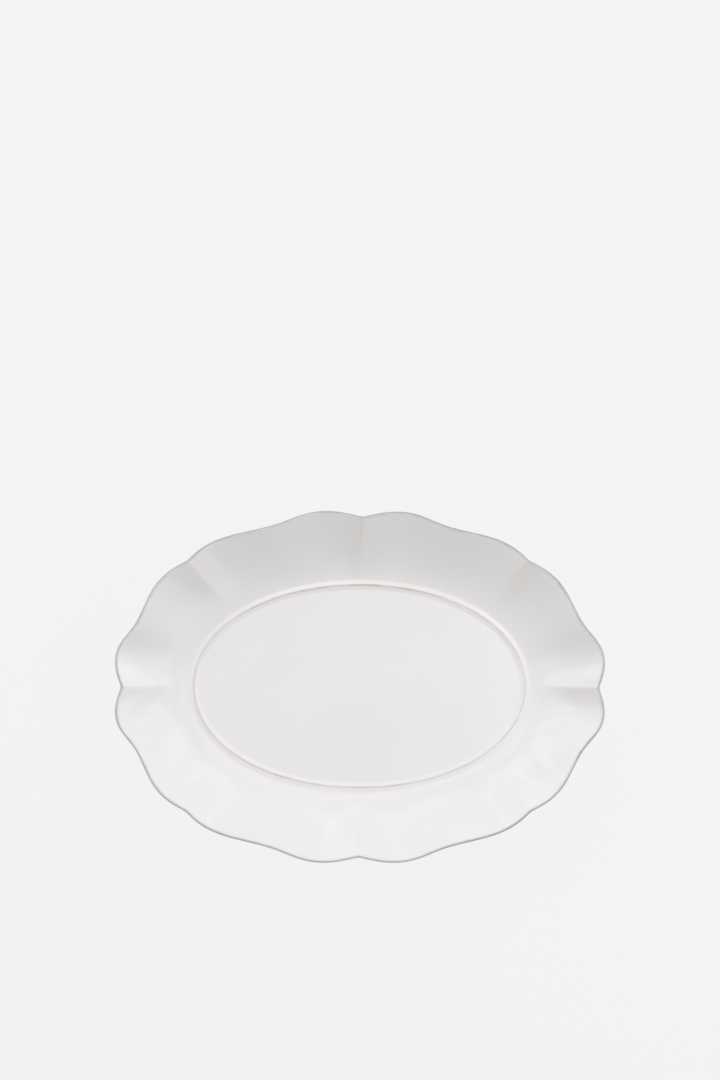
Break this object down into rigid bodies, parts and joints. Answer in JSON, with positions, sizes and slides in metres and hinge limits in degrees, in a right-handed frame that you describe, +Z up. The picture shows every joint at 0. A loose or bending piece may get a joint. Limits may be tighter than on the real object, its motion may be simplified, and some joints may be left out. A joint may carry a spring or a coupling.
{
  "type": "serving platter",
  "caption": "Oval glazed stoneware serving platter: flat well inside a low raised bead, broad rim fluted into petals, foot ring.",
  "frame": {"origin": "on the surface that the platter stands on, under the middle of its oval", "axes": "+X along the oval's length, +Y across it, +Z up, out of the well"},
  "size_m": [0.41, 0.2945, 0.0442],
  "materials": {
    "white_glaze": "glossy white glaze, faintly warm, with soft flow in its thickness",
    "bead_glaze": "the same glaze, thin over the bead's crest, where the tan body shows through",
    "lip_line": "thin grey line on the lip's edge, slightly speckled, that fades into the white glaze",
    "bare_clay": "unglazed fired clay, matt and slightly sandy"
  },
  "bodies": {
    "root": {"well_floor": "white_glaze", "well_bead": "bead_glaze", "petalled_rim": "white_glaze", "rim_lip": "lip_line", "foot_ring": "bare_clay"}
  },
  "joints": []
}
